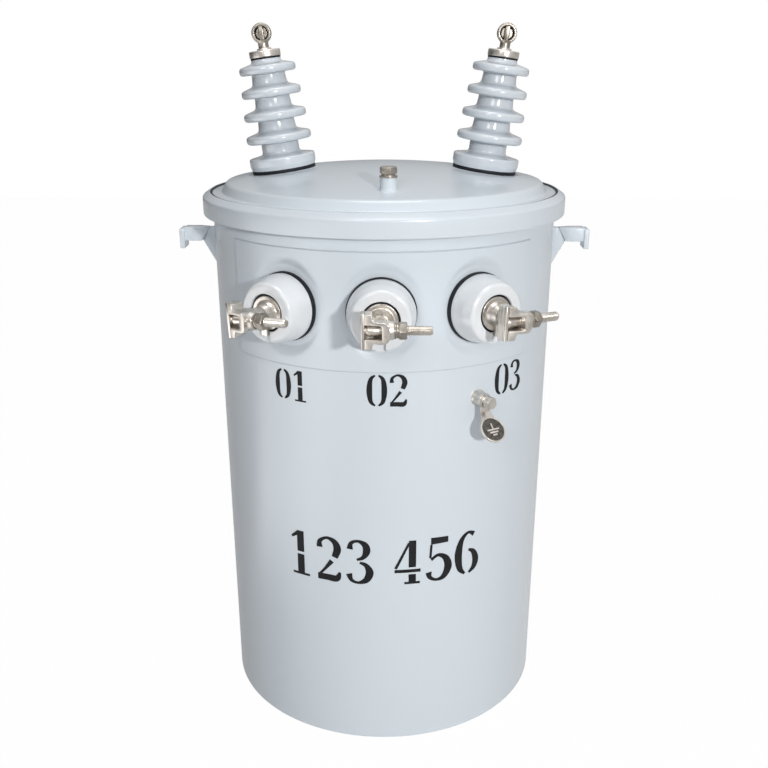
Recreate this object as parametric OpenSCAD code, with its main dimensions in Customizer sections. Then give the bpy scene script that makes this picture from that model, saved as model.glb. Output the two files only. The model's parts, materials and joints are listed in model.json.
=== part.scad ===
// Pole mounted transformer: single phase, round tank, two bushings on the cover and three on the front.
// Millimetres, +Z up, front towards -Y. The floor is z = 0 and the tank axis is x = y = 0.

/* [Tank] */
// Outside diameter of the tank
tank_d = 600; // [560:5:640]
// Height of the tank wall from the floor
tank_h = 936; // [900:2:980]
// Thickness of the tank wall
wall_t = 3; // [2:0.5:5]
// Thickness of the bottom plate
bottom_t = 5; // [4:0.5:8]
// Height of the bottom plate above the floor
bottom_lift = 15; // [8:1:30]
// Width of the rim that stiffens the top of the wall
rim_w = 6; // [5:0.5:7]
// Height of that rim
rim_h = 19.5; // [14:0.5:24]

/* [Cover] */
// Thickness of the cover sheet
cover_t = 4; // [3:0.5:5]
// Width of the flat flange round the cover
flange_w = 20; // [16:1:26]
// Height of the cover crown above its flange
crown_h = 27; // [22:1:34]
// Rise of the crown from its edge to its middle
dome_rise = 5; // [0:1:9]
// Radius of the shoulder round the crown
shoulder_r = 8; // [5:1:12]
// Inset of the crown from the foot of its side
side_inset = 6; // [3:1:10]
// Thickness of the gasket under the cover
seal_t = 4; // [3:0.5:6]
// Width of the gasket seen round the cover
seal_w = 5; // [3:0.5:7]

/* [Cover band] */
// Width of the band across its top
band_w = 9; // [8:0.5:12]
// Thickness of the band sheet
band_t = 3.5; // [2.5:0.5:4]
// Rounding of the band's top edge
band_round = 8; // [5:0.5:8]
// Reach of the closing lugs behind the band
closer_reach = 34; // [30:1:44]
// Diameter of the closing bolt
closer_d = 12; // [8:1:16]

/* [Cover post] */
// Distance of the post inside the tank wall
post_inset = 75; // [60:1:90]
// Angle of the post from the front
post_angle = 2.5; // [-10:0.5:10]
// Diameter of the post
post_d = 26.7; // [22:0.1:32]
// Height of the post
post_h = 19.5; // [14:0.5:28]
// Width across the flats of its bolt
post_hex = 24; // [19:1:27]

/* [High voltage bushings] */
// Distance of each bushing inside the tank wall
hv_inset = 124.5; // [115:0.5:135]
// Outward lean of each bushing
hv_tilt = 7.7; // [5:0.1:9]
// Height of the seat above the crown edge
hv_seat_h = 9; // [8:0.5:12]
// Diameter of the seat
hv_seat_d = 117; // [114:1:124]
// Diameter of the gasket
hv_gasket_d = 111; // [106:1:113]
// Thickness of the gasket
hv_gasket_t = 5.5; // [3:0.5:8]
// Diameter of the porcelain base
hv_base_d = 114.5; // [108:0.5:120]
// Height of the porcelain base
hv_base_h = 19.5; // [16:0.5:24]
// Diameter of the lowest shed
hv_shed_d_low = 112.7; // [104:0.1:120]
// Diameter of the highest shed
hv_shed_d_high = 96; // [90:0.5:102]
// Diameter of the core at its foot
hv_core_d_low = 64.6; // [58:0.1:68]
// Diameter of the core at its top
hv_core_d_high = 56; // [52:0.5:58]
// Height of the lowest shed above the gasket
hv_shed_first = 50.5; // [48:0.5:56]
// Distance from shed to shed
hv_shed_pitch = 37.2; // [34:0.1:42]
// Thickness of each shed at its edge
hv_shed_t = 12; // [9:0.5:14]
// Diameter of the porcelain neck
hv_neck_d = 49.5; // [44:0.5:52]

/* [High voltage terminals] */
// Diameter of the cap
hv_cap_d = 52.8; // [50:0.1:58]
// Height of the cap
hv_cap_h = 11.5; // [8:0.5:16]
// Diameter of the terminal stud
hv_stud_d = 16.8; // [14:0.1:20]
// Height of the stud from the cap to the eye
hv_stud_h = 12; // [8:0.5:18]
// Outside diameter of the eye
hv_eye_d = 33; // [30:0.5:38]
// Inside diameter of the eye
hv_eye_hole_d = 23; // [20:0.5:25]
// Depth of the eye from front to back
hv_eye_t = 13; // [10:0.5:16]
// Width of the keeper bar inside the eye
hv_bar_w = 8.5; // [7:0.5:11]

/* [Low voltage bushings] */
// Angle from bushing to bushing
lv_angle = 30.3; // [29.5:0.05:32]
// Distance of the bushings below the top of the wall
lv_drop = 137.2; // [130:0.2:150]
// Depth of each flat seat pressed into the tank
lv_seat_depth = 4.5; // [4:0.5:6]
// Diameter of each seat
lv_seat_d = 132; // [124:1:138]
// Outside diameter of the gasket
lv_gasket_d = 111; // [108:0.5:115]
// Thickness of the gasket
lv_gasket_t = 8.5; // [6:0.5:10]
// Diameter of the porcelain base
lv_base_d = 108; // [102:0.5:112]
// Diameter of the porcelain drum
lv_drum_d = 92; // [86:0.5:98]
// Length of the porcelain in front of its gasket
lv_len = 48; // [44:0.5:54]
// Diameter of the recess in the drum
lv_recess_d = 59.4; // [56:0.2:64]
// Depth of the recess
lv_recess_depth = 8; // [6:0.5:10]
// Diameter of the neck that passes through the tank
lv_spigot_d = 66; // [60:1:72]

/* [Bushing panel] */
// Half of the angle that the panel covers
panel_angle = 52.3; // [51:0.1:58]
// Reach of the panel below the bushings
panel_drop = 94.8; // [92:0.2:110]
// Reach of the panel above the bushings
panel_rise = 92.2; // [90:0.2:95]
// Thickness of the panel
panel_t = 1.5; // [1:0.25:3]

/* [Low voltage terminals] */
// Distance of the clamp axis from the porcelain face
clamp_reach = 49; // [46:0.5:60]
// Diameter of the stud flange
stud_flange_d = 53; // [48:0.5:55]
// Thickness of the stud flange
stud_flange_t = 6; // [4:0.5:7]
// Diameter of the stud neck
stud_neck_d = 27; // [22:0.5:30]
// Diameter of the stud inside the porcelain
stud_d = 20; // [16:0.5:24]
// Depth of the clamp along the stud
clamp_depth = 24; // [20:0.5:28]
// Further depth of the clamp at its back, where its face stands forward
clamp_slant = 9; // [6:0.5:12]
// Height of the clamp body
clamp_h = 31; // [28:0.5:36]
// Height over the clamp ears
clamp_ear_h = 52; // [48:0.5:58]
// Height of the slot in the clamp
clamp_slot_h = 21; // [19:0.5:23]
// Distance of the clamp mouth from the stud axis
clamp_mouth = 22.5; // [20:0.5:26]
// Distance of the clamp back from the stud axis
clamp_back = 13.8; // [13.2:0.2:16]
// Depth of the clamp web
clamp_web = 11; // [9:0.2:13]
// Diameter of the clamp rod
rod_d = 14; // [12:0.5:15]
// Turn of the left clamp on its stud
clamp_turn_left = 4; // [-10:1:10]
// Turn of the right clamp on its stud
clamp_turn_right = -1; // [-10:1:10]
// Distance of the rod end from the stud axis
rod_reach = 76; // [64:1:90]
// Width across the flats of the clamp nut
nut_hex = 23; // [21:0.5:26]
// Thickness of the clamp nut
nut_t = 12.2; // [9:0.2:15]

/* [Lifting lugs] */
// Distance of the lugs below the top of the wall
lug_drop = 54; // [50:1:66]
// Reach of the lugs from the tank
lug_reach = 66; // [60:1:80]
// Thickness of the gusset
lug_gusset_t = 10; // [8:1:14]
// Height of the gusset against the tank
lug_gusset_h = 66; // [58:1:80]
// Height of the arm
lug_arm_h = 24; // [20:1:28]
// Width of the arm
lug_arm_w = 28; // [24:1:34]
// Height of the end plate
lug_end_h = 35; // [32:1:42]
// Width of the end plate
lug_end_w = 36; // [34:1:48]
// Thickness of the end plate
lug_end_t = 9; // [7:0.5:12]

/* [Ground terminal] */
// Angle of the ground terminal from the front
ground_angle = 31.5; // [20:0.1:36]
// Distance of the ground terminal below the bushings
ground_below = 151.4; // [145:0.2:170]
// Diameter of the boss
ground_d = 24; // [20:0.5:30]
// Length of the boss
ground_len = 20; // [14:0.5:28]
// Diameter of the bolt
ground_bolt_d = 16; // [12:0.5:18]
// Diameter of the tag
ground_tag_d = 45; // [40:0.2:50]
// Distance of the tag below the bolt
ground_drop = 52.6; // [50:0.2:60]

/* [Pole hangers] */
// Distance between the two hanger bolts
hanger_pitch = 590.55; // [580:0.05:600]
// Radius of each bolt hole
hanger_hole_r = 11; // [9:0.25:13]
// Distance of the hanger face behind the tank
hanger_reach = 60; // [50:1:75]
// Width of each hanger
hanger_w = 96; // [84:1:110]
// Height of each hanger
hanger_h = 110; // [90:1:130]
// Thickness of the hanger plate
hanger_t = 8; // [6:0.5:10]

/* [Core and coils] */
// Width of the core
core_w = 360; // [320:5:380]
// Depth of the core
core_depth = 130; // [110:5:150]
// Height of the core
core_h = 430; // [380:5:480]
// Diameter of each coil
coil_d = 240; // [220:5:260]
// Height of each coil
coil_h = 320; // [280:5:360]

/* [Hidden] */
$fn = 96;
cut = 1;
hex_fn = 6;
hex_spread = 1 / cos(30);
hex_turn = 30;
tank_r = tank_d / 2;
rim_r = tank_r + rim_w;
dome_steps = 10;
arc_steps = 6;

// Core and coils, which stand on the bottom plate inside the tank
core_z = bottom_lift + bottom_t;
coil_x = coil_d / 2;

// Levels and radii of the cover
flange_z = tank_h + seal_t + cover_t;
cover_overhang = 3;
flange_r = tank_r + cover_overhang;
foot_r = flange_r - flange_w;
crown_z = flange_z + crown_h;
crown_r = foot_r - side_inset;
seal_r = flange_r + seal_w;
seal_inset = 4;
seal_in_r = tank_r - wall_t - seal_inset;
seal_lip = 0.5;

// Levels of the band, which grips the rim, the gasket and the flange
band_r = seal_r + band_w;
band_low = tank_h - rim_h - band_t;
band_proud = 3;
band_top = flange_z + band_proud;
band_clear = 1.5;
band_lip_r = tank_r + band_clear;
band_gap = 12;
closer_t = 6;
closer_inset = 3;
closer_y = band_r + closer_reach / 2;
closer_z = (band_low + band_top) / 2;
closer_len = 62;
closer_hex = closer_d * 1.5;
closer_head_t = closer_d * 0.65;

// Post on the cover
post_flare = 2.6;
post_flare_h = 5;
post_sink = 12;
post_bore_d = 14;
post_shank = 14;
post_washer_d = 28;
post_washer_t = 2.5;
post_head_t = 10;
post_reach = tank_r - post_inset;
post_z = crown_z + dome_rise * (1 - pow(post_reach / crown_r, 2)) + post_h;

// High voltage bushing, measured along its own axis
hv_x = tank_r - hv_inset;
hv_z = crown_z + hv_seat_h;
hv_seat_sink = 22;
hv_seat_flare = 12;
hv_spigot_d = 58;
hv_spigot_len = 46;
spigot_clear = 1;
hv_hole_d = hv_spigot_d + 2 * spigot_clear;
hv_sheds = 4;
hv_rim = hv_shed_t / 2;
hv_shed_slope = 8;
hv_shed_cove = 3;
hv_base_taper = 2.2;
hv_base_round = 5;
hv_neck_h = 13;
hv_top = hv_shed_first + (hv_sheds - 1) * hv_shed_pitch + hv_rim + hv_neck_h;
hv_cap_round = 1.5;
hv_collar_d = 24;
hv_collar_h = 3;
hv_eye_sink = 2;
hv_eye_z = hv_top + hv_cap_h + hv_stud_h + hv_eye_d / 2 - hv_eye_sink;
hv_bar_t = 5;
hv_disc_d = 17;
hv_disc_t = 4;

// Low voltage bushing, measured along its own axis from the gasket
lv_seat_rho = tank_r - lv_seat_depth;
lv_rho = lv_seat_rho + lv_gasket_t;
lv_angles = [-lv_angle, 0, lv_angle];
lv_turns = [clamp_turn_left, 0, clamp_turn_right];
lv_hole_d = lv_spigot_d + 2 * spigot_clear;
lv_z = tank_h - lv_drop;
lv_seat_t = 3;
lv_seat_slope = 2.2;
lv_seat_rise = 20;
lv_plug_d = lv_seat_d + 2 * lv_seat_slope * (lv_seat_depth + panel_t + lv_seat_t);
lv_spigot_len = 34;
lv_base_h = 11;
lv_shoulder_h = 9;
lv_base_round = 2;
lv_rim_round = 6;
lv_notch_w = 15;
lv_floor = lv_len - lv_recess_depth;

// Low voltage terminal, measured from the porcelain gasket
clamp_z = lv_len + clamp_reach;
clamp_low = clamp_z - clamp_depth / 2;
clamp_ear_t = 7;
clamp_round = 6;
clamp_slope = clamp_slant / (clamp_mouth + clamp_back);
clamp_boss_d = 27;
clamp_boss_end = 20.5;
clamp_boss_root = 0.2;
rod_clear = 0.25;
shank_d = 17;
tee_t = 5;
tee_depth = 20;
lock_t = 6;
lock_d = 24;
peg_w = 11;
peg_t = 8;
peg_drop = 34;

// Lifting lug
lug_root = 12;
lug_fold = 26;
lug_flare = 31;
lug_z = tank_h - lug_drop;
lug_fold_x = tank_r + lug_fold;
lug_flare_x = tank_r + lug_flare;
lug_end_x = tank_r + lug_reach - lug_end_t;
lug_heel = 3;
lug_arm_z = lug_z - lug_arm_h;
lug_end_drop = 2;

// Ground terminal
ground_z = lv_z - ground_below;
ground_sink = 6;
ground_washer_d = 21;
ground_washer_t = 3;
ground_nut_hex = 18;
ground_nut_t = 7;
ground_tip = 8;
tag_t = 2;
tag_ring_d = 23;
tag_strap_w = 19;
tag_neck_w = 17;
tag_bend = 8;
tag_lap = 0.8;
tag_lean = 44;

// Pole hanger
hanger_face = tank_r + hanger_reach;
hanger_low_z = (tank_h - hanger_pitch) / 2;

paint = "#cbd4dc";
glaze = "#d3dbe1";
rubber = "#1c1d1f";
tin = "#b9afa4";
steel = "#8d8a86";

function mix(a, b, share) = a + (b - a) * share;
function arc(x, y, r, from, to) =
    [for (i = [0 : arc_steps]) let (a = mix(from, to, i / arc_steps)) [x + r * cos(a), y + r * sin(a)]];

// Outside of the cover from its middle to the edge of its flange
function cover_skin(drop) = concat(
    [for (i = [0 : dome_steps]) let (share = i / dome_steps)
        [(crown_r - shoulder_r) * share, crown_z - drop + dome_rise * (1 - share * share)]],
    arc(crown_r - shoulder_r, crown_z - shoulder_r, shoulder_r - drop, 75, 15),
    [[foot_r - drop, flange_z - drop]]);

// One shed of the high voltage porcelain, from below to above
function hv_shed(i) =
    let (share = i / (hv_sheds - 1),
        t = hv_shed_first + i * hv_shed_pitch,
        r = mix(hv_shed_d_low, hv_shed_d_high, share) / 2,
        core = mix(hv_core_d_low, hv_core_d_high, share) / 2)
    concat([[core, t - hv_rim - hv_shed_cove], [core + hv_shed_cove, t - hv_rim]],
        arc(r - hv_rim, t, hv_rim, -90, 72),
        [[core + hv_shed_cove, t + hv_rim + hv_shed_slope],
        [core, t + hv_rim + hv_shed_slope + hv_shed_cove]]);

// Local frame on the tank: x to the right, y up, z out along the radius
module on_tank(angle, rho, height) {
    translate([0, 0, height])
        rotate([0, 0, angle])
            translate([0, -rho, 0])
                rotate([90, 0, 0])
                    children();
}

// Local frame of one low voltage clamp, turned on its stud
module on_clamp(angle, turn) {
    on_tank(angle, lv_rho, lv_z)
        rotate([0, 0, turn])
            children();
}

module on_cover(side) {
    translate([side * hv_x, 0, hv_z])
        rotate([0, side * hv_tilt, 0])
            children();
}

module on_bushing(side) {
    on_cover(side)
        translate([0, 0, hv_gasket_t])
            children();
}

module hexagon(flats, h) {
    cylinder(d = flats * hex_spread, h = h, $fn = hex_fn);
}

module ring(outer, inner, h) {
    difference() {
        cylinder(d = outer, h = h);
        translate([0, 0, -cut])
            cylinder(d = inner, h = h + 2 * cut);
    }
}

// Room of one pressed seat in the tank wall
module seat_plug(angle) {
    on_tank(angle, lv_seat_rho - lv_seat_t, lv_z)
        cylinder(d = lv_plug_d, h = lv_seat_rise);
}

module tank_wall() {
    color(paint)
        difference() {
            rotate_extrude()
                polygon([[tank_r - wall_t, 0], [tank_r, 0], [tank_r, tank_h - rim_h],
                    [rim_r, tank_h - rim_h], [rim_r, tank_h], [tank_r - wall_t, tank_h]]);
            for (angle = lv_angles)
                seat_plug(angle);
        }
}

module tank_bottom() {
    color(paint)
        translate([0, 0, bottom_lift])
            cylinder(r = tank_r - wall_t, h = bottom_t);
}

module core_and_coils() {
    color(steel)
        translate([0, 0, core_z]) {
            translate([-core_w / 2, -core_depth / 2, 0])
                cube([core_w, core_depth, core_h]);
            for (side = [-1, 1])
                translate([side * coil_x, 0, (core_h - coil_h) / 2])
                    cylinder(d = coil_d, h = coil_h);
        }
}

module bushing_panel() {
    color(paint)
        difference() {
            union() {
                translate([0, 0, lv_z - panel_drop])
                    rotate([0, 0, -90 - panel_angle])
                        rotate_extrude(angle = 2 * panel_angle)
                            translate([tank_r, 0])
                                square([panel_t, panel_drop + panel_rise]);
                intersection() {
                    for (angle = lv_angles)
                        seat_plug(angle);
                    cylinder(r = tank_r + panel_t, h = tank_h);
                }
            }
            for (angle = lv_angles)
                on_tank(angle, lv_seat_rho, lv_z) {
                    cylinder(d1 = lv_seat_d, d2 = lv_seat_d + 2 * lv_seat_slope * lv_seat_rise,
                        h = lv_seat_rise);
                    translate([0, 0, -lv_seat_rise])
                        cylinder(d = lv_hole_d, h = 2 * lv_seat_rise);
                }
        }
}

module cover() {
    color(paint)
        difference() {
            union() {
                rotate_extrude()
                    polygon(concat(cover_skin(0), [[flange_r, flange_z], [flange_r, flange_z - cover_t]],
                        [for (i = [len(cover_skin(cover_t)) - 1 : -1 : 0]) cover_skin(cover_t)[i]]));
                for (side = [-1, 1])
                    intersection() {
                        on_cover(side)
                            translate([0, 0, -hv_seat_sink])
                                cylinder(d1 = hv_seat_d + 2 * hv_seat_flare, d2 = hv_seat_d,
                                    h = hv_seat_sink);
                        translate([0, 0, crown_z - cover_t])
                            cylinder(r = crown_r - shoulder_r, h = crown_h + hv_seat_sink);
                    }
            }
            for (side = [-1, 1])
                on_cover(side)
                    translate([0, 0, -hv_spigot_len])
                        cylinder(d = hv_hole_d, h = 2 * hv_spigot_len);
        }
}

module cover_gasket() {
    color(rubber)
        rotate_extrude()
            polygon([[seal_in_r, tank_h], [seal_r, tank_h], [seal_r, flange_z + seal_lip],
                [flange_r, flange_z + seal_lip], [flange_r, tank_h + seal_t], [seal_in_r, tank_h + seal_t]]);
}

module closer_plate(side) {
    translate([side * (band_gap + closer_t) / 2 - closer_t / 2, band_r - closer_inset, band_low])
        cube([closer_t, closer_reach + closer_inset, band_top - band_low]);
}

module cover_band() {
    color(paint)
        difference() {
            union() {
                rotate_extrude()
                    polygon(concat([[band_lip_r, band_low], [band_r, band_low]],
                        arc(band_r - band_round, band_top - band_round, band_round, 0, 90),
                        [[seal_r, band_top], [seal_r, band_top - band_t]],
                        arc(band_r - band_round, band_top - band_round, band_round - band_t, 90, 0),
                        [[band_r - band_t, band_low + band_t], [band_lip_r, band_low + band_t]]));
                for (side = [-1, 1])
                    closer_plate(side);
            }
            translate([-band_gap / 2, tank_r, band_low - cut])
                cube([band_gap, closer_reach + band_w + seal_r, band_top - band_low + 2 * cut]);
            translate([-closer_len, closer_y, closer_z])
                rotate([0, 90, 0])
                    cylinder(d = closer_d, h = 2 * closer_len);
        }
}

module band_bolt() {
    color(steel)
        translate([-band_gap / 2 - closer_t, closer_y, closer_z])
            rotate([0, 90, 0]) {
                cylinder(d = closer_d, h = closer_len);
                translate([0, 0, -closer_head_t])
                    hexagon(closer_hex, closer_head_t);
                translate([0, 0, band_gap + 2 * closer_t])
                    hexagon(closer_hex, closer_head_t);
            }
}

module post_frame(height) {
    rotate([0, 0, post_angle])
        translate([0, -post_reach, height])
            children();
}

module cover_post() {
    color(paint)
        difference() {
            post_frame(post_z - post_h - post_sink)
                union() {
                    cylinder(d = post_d, h = post_h + post_sink);
                    cylinder(d = post_d + 2 * post_flare, h = post_sink);
                    translate([0, 0, post_sink])
                        cylinder(d1 = post_d + 2 * post_flare, d2 = post_d, h = post_flare_h);
                }
            rotate_extrude()
                polygon(concat(cover_skin(0), [[0, flange_z]]));
            post_frame(post_z - post_shank)
                cylinder(d = post_bore_d, h = post_h);
        }
}

module cover_bolt() {
    color(steel)
        post_frame(post_z) {
            translate([0, 0, -post_shank])
                cylinder(d = post_bore_d, h = post_shank);
            cylinder(d = post_washer_d, h = post_washer_t);
            translate([0, 0, post_washer_t])
                hexagon(post_hex, post_head_t);
        }
}

module hv_bushing(side) {
    color(glaze)
        on_bushing(side)
            rotate_extrude()
                polygon(concat([[0, -hv_spigot_len], [hv_spigot_d / 2, -hv_spigot_len], [hv_spigot_d / 2, 0],
                    [hv_base_d / 2 - hv_base_taper, 0]],
                    arc(hv_base_d / 2 - hv_base_round, hv_base_h - hv_base_round, hv_base_round, 0, 80),
                    [[hv_core_d_low / 2 + hv_shed_cove, hv_base_h + hv_shed_cove],
                    [hv_core_d_low / 2, hv_base_h + 2 * hv_shed_cove]],
                    [for (i = [0 : hv_sheds - 1]) each hv_shed(i)],
                    [[hv_neck_d / 2, hv_top - hv_shed_cove / 2], [hv_neck_d / 2, hv_top], [0, hv_top]]));
}

module hv_gasket(side) {
    color(rubber)
        on_cover(side)
            ring(hv_gasket_d, hv_spigot_d, hv_gasket_t);
}

module hv_cap(side) {
    color(tin)
        on_bushing(side)
            translate([0, 0, hv_top])
                rotate_extrude()
                    polygon([[0, 0], [hv_cap_d / 2 - hv_cap_round, 0], [hv_cap_d / 2, hv_cap_round],
                        [hv_cap_d / 2, hv_cap_h - hv_cap_round], [hv_cap_d / 2 - hv_cap_round, hv_cap_h],
                        [0, hv_cap_h]]);
}

module hv_eyebolt(side) {
    color(tin)
        on_bushing(side)
            difference() {
                union() {
                    translate([0, 0, hv_top + hv_cap_h]) {
                        cylinder(d = hv_stud_d, h = hv_stud_h + hv_eye_sink);
                        cylinder(d = hv_collar_d, h = hv_collar_h);
                    }
                    translate([0, 0, hv_eye_z])
                        rotate([90, 0, 0])
                            cylinder(d = hv_eye_d, h = hv_eye_t, center = true);
                }
                translate([0, 0, hv_eye_z])
                    rotate([90, 0, 0])
                        cylinder(d = hv_eye_hole_d, h = 2 * hv_eye_t, center = true);
            }
}

module hv_keeper(side) {
    color(tin)
        on_bushing(side)
            translate([0, 0, hv_eye_z])
                rotate([90, 0, 0]) {
                    intersection() {
                        cylinder(d = hv_eye_hole_d, h = hv_bar_t);
                        translate([-hv_bar_w / 2, -hv_eye_hole_d / 2, 0])
                            cube([hv_bar_w, hv_eye_hole_d, hv_bar_t]);
                    }
                    translate([0, 0, -hv_disc_t])
                        cylinder(d = hv_disc_d, h = hv_disc_t);
                }
}

module lv_bushing(angle) {
    color(glaze)
        on_tank(angle, lv_rho, lv_z)
            difference() {
                rotate_extrude()
                    polygon(concat([[stud_d / 2, -lv_spigot_len], [lv_spigot_d / 2, -lv_spigot_len],
                        [lv_spigot_d / 2, 0], [lv_base_d / 2, 0]],
                        arc(lv_base_d / 2 - lv_base_round, lv_base_h - lv_base_round, lv_base_round, 0, 45),
                        [[lv_drum_d / 2 + lv_base_round, lv_base_h + lv_shoulder_h],
                        [lv_drum_d / 2, lv_base_h + 2 * lv_shoulder_h]],
                        arc(lv_drum_d / 2 - lv_rim_round, lv_len - lv_rim_round, lv_rim_round, 0, 90),
                        [[lv_recess_d / 2, lv_len], [lv_recess_d / 2, lv_floor], [stud_d / 2, lv_floor]]));
                translate([-lv_notch_w / 2, -lv_drum_d, lv_floor])
                    cube([lv_notch_w, lv_drum_d - stud_flange_d / 2, 2 * lv_recess_depth]);
            }
}

module lv_gasket(angle) {
    color(rubber)
        on_tank(angle, lv_seat_rho, lv_z)
            ring(lv_gasket_d, lv_spigot_d, lv_gasket_t);
}

module lv_stud(angle) {
    color(tin)
        on_tank(angle, lv_rho, lv_z) {
            translate([0, 0, -lv_spigot_len])
                cylinder(d = stud_d, h = lv_spigot_len + lv_floor);
            translate([0, 0, lv_floor])
                cylinder(d = stud_flange_d, h = stud_flange_t);
            translate([0, 0, lv_floor + stud_flange_t])
                cylinder(d = stud_neck_d, h = clamp_low - lv_floor - stud_flange_t);
            translate([-peg_w / 2, -peg_drop, lv_floor + stud_flange_t])
                cube([peg_w, peg_drop, peg_t]);
        }
}

module lv_clamp(angle, turn) {
    color(tin)
        on_clamp(angle, turn)
            difference() {
                union() {
                    difference() {
                        translate([0, 0, clamp_low])
                            linear_extrude(clamp_depth + clamp_slant)
                                clamp_outline();
                        translate([0, clamp_ear_h, clamp_low + clamp_depth])
                            rotate([90, 0, 0])
                                linear_extrude(2 * clamp_ear_h)
                                    polygon([[-2 * clamp_mouth, -clamp_slope * clamp_mouth],
                                        [clamp_mouth, 2 * clamp_slope * clamp_mouth],
                                        [clamp_mouth, clamp_depth], [-2 * clamp_mouth, clamp_depth]]);
                    }
                    translate([clamp_back - clamp_boss_root, 0, clamp_z])
                        rotate([0, 90, 0])
                            cylinder(d = clamp_boss_d, h = clamp_boss_end - clamp_back + clamp_boss_root);
                }
                translate([clamp_back - 2 * clamp_web, 0, clamp_z])
                    rotate([0, 90, 0])
                        cylinder(d = rod_d + 2 * rod_clear, h = clamp_boss_end + 2 * clamp_web);
            }
}

module clamp_outline() {
    difference() {
        union() {
            translate([-clamp_mouth, -clamp_h / 2])
                square([clamp_mouth + clamp_back - clamp_round, clamp_h]);
            translate([-clamp_mouth, clamp_round - clamp_h / 2])
                square([clamp_mouth + clamp_back, clamp_h - 2 * clamp_round]);
            for (end = [-1, 1])
                translate([clamp_back - clamp_round, end * (clamp_h / 2 - clamp_round)])
                    circle(r = clamp_round);
            translate([-clamp_mouth, -clamp_ear_h / 2])
                square([clamp_ear_t, clamp_ear_h]);
        }
        translate([-2 * clamp_mouth, -clamp_slot_h / 2])
            square([2 * clamp_mouth + clamp_back - clamp_web, clamp_slot_h]);
    }
}

module lv_bolt(angle, turn) {
    color(tin)
        on_clamp(angle, turn)
            translate([0, 0, clamp_z]) {
                translate([-clamp_mouth - tee_t, -clamp_ear_h / 2, -tee_depth / 2])
                    cube([tee_t, clamp_ear_h, tee_depth]);
                translate([-clamp_mouth, 0, 0])
                    rotate([0, 90, 0])
                        cylinder(d = shank_d, h = clamp_mouth + clamp_back - clamp_web);
                translate([-clamp_mouth, 0, 0])
                    rotate([0, 90, 0])
                        cylinder(d = rod_d, h = clamp_mouth + rod_reach);
            }
}

module lv_nut(angle, turn) {
    color(tin)
        on_clamp(angle, turn)
            translate([clamp_boss_end, 0, clamp_z])
                rotate([0, 90, 0])
                    difference() {
                        union() {
                            cylinder(d = lock_d, h = lock_t);
                            translate([0, 0, lock_t])
                                rotate([0, 0, hex_turn])
                                    hexagon(nut_hex, nut_t);
                        }
                        translate([0, 0, -cut])
                            cylinder(d = rod_d, h = lock_t + nut_t + 2 * cut);
                    }
}

module lug_side(thick, outline) {
    translate([0, thick / 2, 0])
        rotate([90, 0, 0])
            linear_extrude(thick)
                polygon(outline);
}

module lifting_lug(side) {
    color(paint)
        rotate([0, 0, side * 90])
            rotate([0, 0, -90])
                difference() {
                    union() {
                        lug_side(lug_gusset_t, [[0, lug_z], [tank_r + lug_root, lug_z],
                            [lug_fold_x, lug_arm_z], [tank_r + lug_heel, lug_z - lug_gusset_h],
                            [0, lug_z - lug_gusset_h]]);
                        intersection() {
                            lug_side(lug_arm_w, [[tank_r + lug_root, lug_z], [lug_end_x, lug_z],
                                [lug_end_x, lug_arm_z], [lug_fold_x, lug_arm_z]]);
                            translate([0, 0, lug_arm_z - cut])
                                linear_extrude(lug_arm_h + 2 * cut)
                                    polygon([[tank_r + lug_root - cut, -lug_gusset_t / 2],
                                        [lug_flare_x, -lug_arm_w / 2], [lug_end_x, -lug_arm_w / 2],
                                        [lug_end_x, lug_arm_w / 2], [lug_flare_x, lug_arm_w / 2],
                                        [tank_r + lug_root - cut, lug_gusset_t / 2]]);
                        }
                        translate([lug_end_x, -lug_end_w / 2, lug_z - lug_end_drop - lug_end_h])
                            cube([lug_end_t, lug_end_w, lug_end_h]);
                    }
                    cylinder(r = tank_r, h = tank_h);
                }
}

module ground_boss() {
    color(steel)
        difference() {
            on_tank(ground_angle, tank_r - ground_sink, ground_z)
                ring(ground_d, ground_bolt_d, ground_sink + ground_len);
            cylinder(r = tank_r, h = tank_h);
        }
}

module ground_bolt() {
    color(steel)
        difference() {
            on_tank(ground_angle, tank_r - ground_sink, ground_z) {
                cylinder(d = ground_bolt_d,
                    h = ground_sink + ground_len + tag_t + ground_washer_t + ground_nut_t + ground_tip);
                translate([0, 0, ground_sink + ground_len + tag_t])
                    cylinder(d = ground_washer_d, h = ground_washer_t);
                translate([0, 0, ground_sink + ground_len + tag_t + ground_washer_t])
                    hexagon(ground_nut_hex, ground_nut_t);
            }
            cylinder(r = tank_r, h = tank_h);
        }
}

module ground_tag() {
    color(tin)
        on_tank(ground_angle, tank_r + ground_len, ground_z) {
            linear_extrude(tag_t)
                difference() {
                    union() {
                        circle(d = tag_ring_d);
                        translate([-tag_strap_w / 2, -tag_ring_d / 2 - tag_bend])
                            square([tag_strap_w, tag_ring_d / 2 + tag_bend]);
                    }
                    circle(d = ground_bolt_d);
                }
            translate([0, -tag_ring_d / 2 - tag_bend, 0])
                rotate([-tag_lean, 0, 0])
                    linear_extrude(tag_t)
                        union() {
                            translate([0, tag_ring_d / 2 + tag_bend - ground_drop])
                                circle(d = ground_tag_d);
                            translate([-tag_neck_w / 2, tag_ring_d / 2 + tag_bend - ground_drop])
                                square([tag_neck_w, ground_drop - tag_ring_d / 2 - tag_bend + tag_lap]);
                        }
        }
}

module hanger(height) {
    color(paint)
        translate([0, 0, height])
            difference() {
                translate([-hanger_w / 2, 0, -hanger_h / 2])
                    cube([hanger_w, hanger_face, hanger_h]);
                translate([hanger_t - hanger_w / 2, 0, -hanger_h])
                    cube([hanger_w - 2 * hanger_t, hanger_face - hanger_t, 2 * hanger_h]);
                translate([0, 0, -hanger_h])
                    cylinder(r = tank_r, h = 2 * hanger_h);
                translate([0, hanger_face + cut, 0])
                    rotate([90, 0, 0])
                        cylinder(r = hanger_hole_r, h = hanger_t + 2 * cut);
            }
}

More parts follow.
